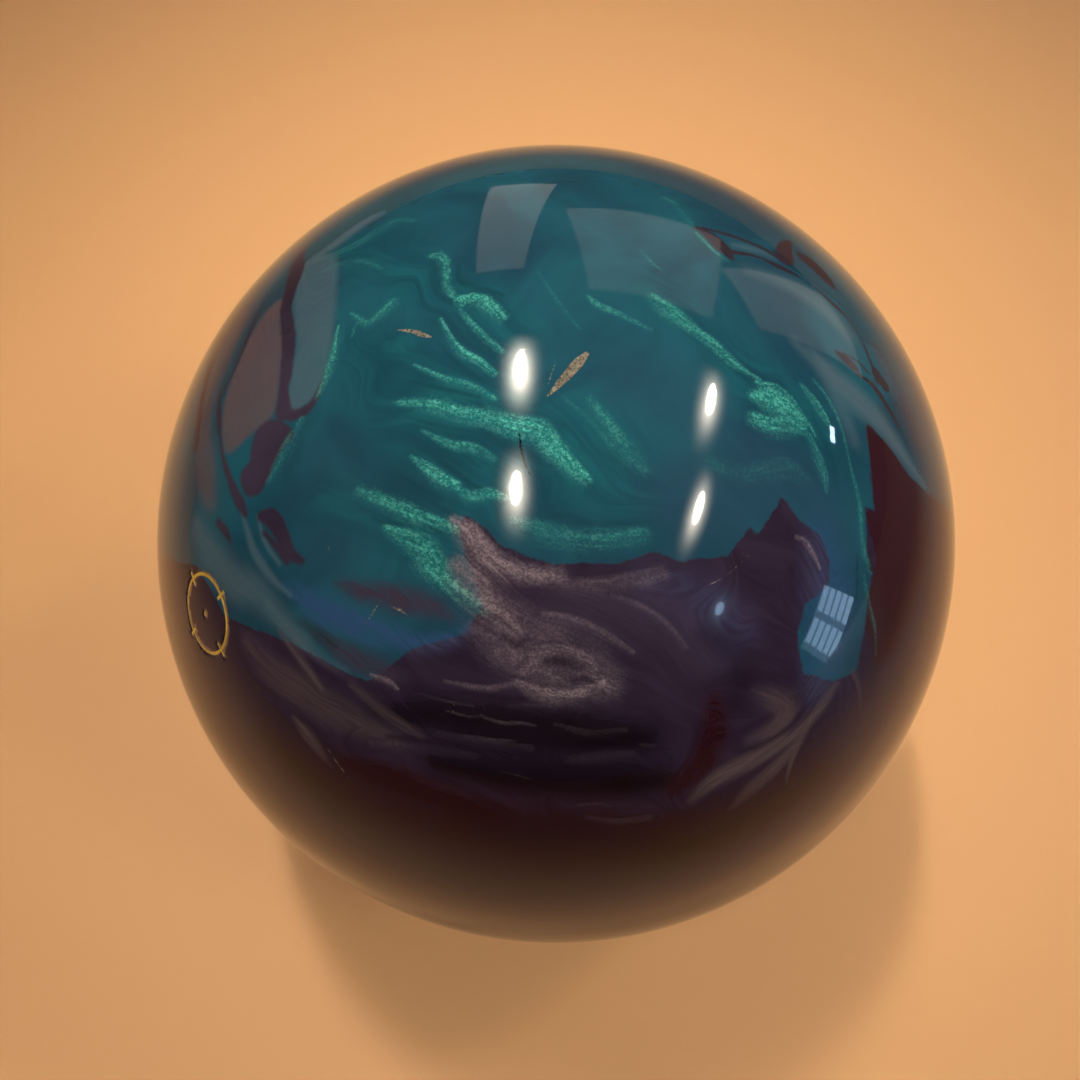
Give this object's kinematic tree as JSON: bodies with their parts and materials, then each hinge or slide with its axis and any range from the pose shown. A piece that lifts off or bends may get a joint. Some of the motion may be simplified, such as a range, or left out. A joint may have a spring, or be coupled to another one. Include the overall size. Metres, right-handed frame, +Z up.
{
  "type": "bowling ball",
  "caption": "Ten-pin bowling ball: swirled pearl shell over a cast asymmetric core, with soft finger grips and a twist-lock thumb insert that lifts out.",
  "frame": {"origin": "centre of the ball", "axes": "+Z up as the ball rests on the floor; the grip faces the far side, towards -X and +Y"},
  "size_m": [0.217, 0.217, 0.217],
  "materials": {
    "coverstock": "pearl swirl, polished",
    "outer_core": "cast filler resin",
    "weight_block": "cast dense resin",
    "dense_insert": "cast dense resin",
    "core_pin": "cast resin",
    "mass_bias_plug": "enamel",
    "locator_ring_infill": "metallic enamel",
    "cg_dot_infill": "enamel",
    "middle_finger_insert": "soft urethane",
    "ring_finger_insert": "soft urethane",
    "thumb_sleeve": "moulded",
    "thumb_sleeve_cap": "moulded",
    "thumb_bumper_pad": "foam rubber",
    "thumb_slug": "turned urethane",
    "thumb_lock_base": "moulded",
    "thumb_o_ring": "smooth"
  },
  "bodies": {
    "ball": {"coverstock": "coverstock", "outer_core": "outer_core", "weight_block": "weight_block", "dense_insert": "dense_insert", "core_pin": "core_pin", "mass_bias_plug": "mass_bias_plug", "locator_ring_infill": "locator_ring_infill", "cg_dot_infill": "cg_dot_infill", "middle_finger_insert": "middle_finger_insert", "ring_finger_insert": "ring_finger_insert", "thumb_sleeve": "thumb_sleeve", "thumb_sleeve_cap": "thumb_sleeve_cap", "thumb_bumper_pad": "thumb_bumper_pad"},
    "thumb_seal": {"thumb_o_ring": "thumb_o_ring"},
    "thumb_insert": {"thumb_slug": "thumb_slug", "thumb_lock_base": "thumb_lock_base"}
  },
  "joints": [
    {"name": "thumb_lift", "type": "slide", "parent": "ball", "child": "thumb_seal", "axis": [-0.973, 0.2262, -0.0461], "range_m": [0, 0.085]},
    {"name": "thumb_twist", "type": "hinge", "parent": "thumb_seal", "child": "thumb_insert", "pos_m": [-0.10557, 0.02454, -0.005], "axis": [-0.973, 0.2262, -0.0461], "range_deg": [-60, 0]}
  ]
}
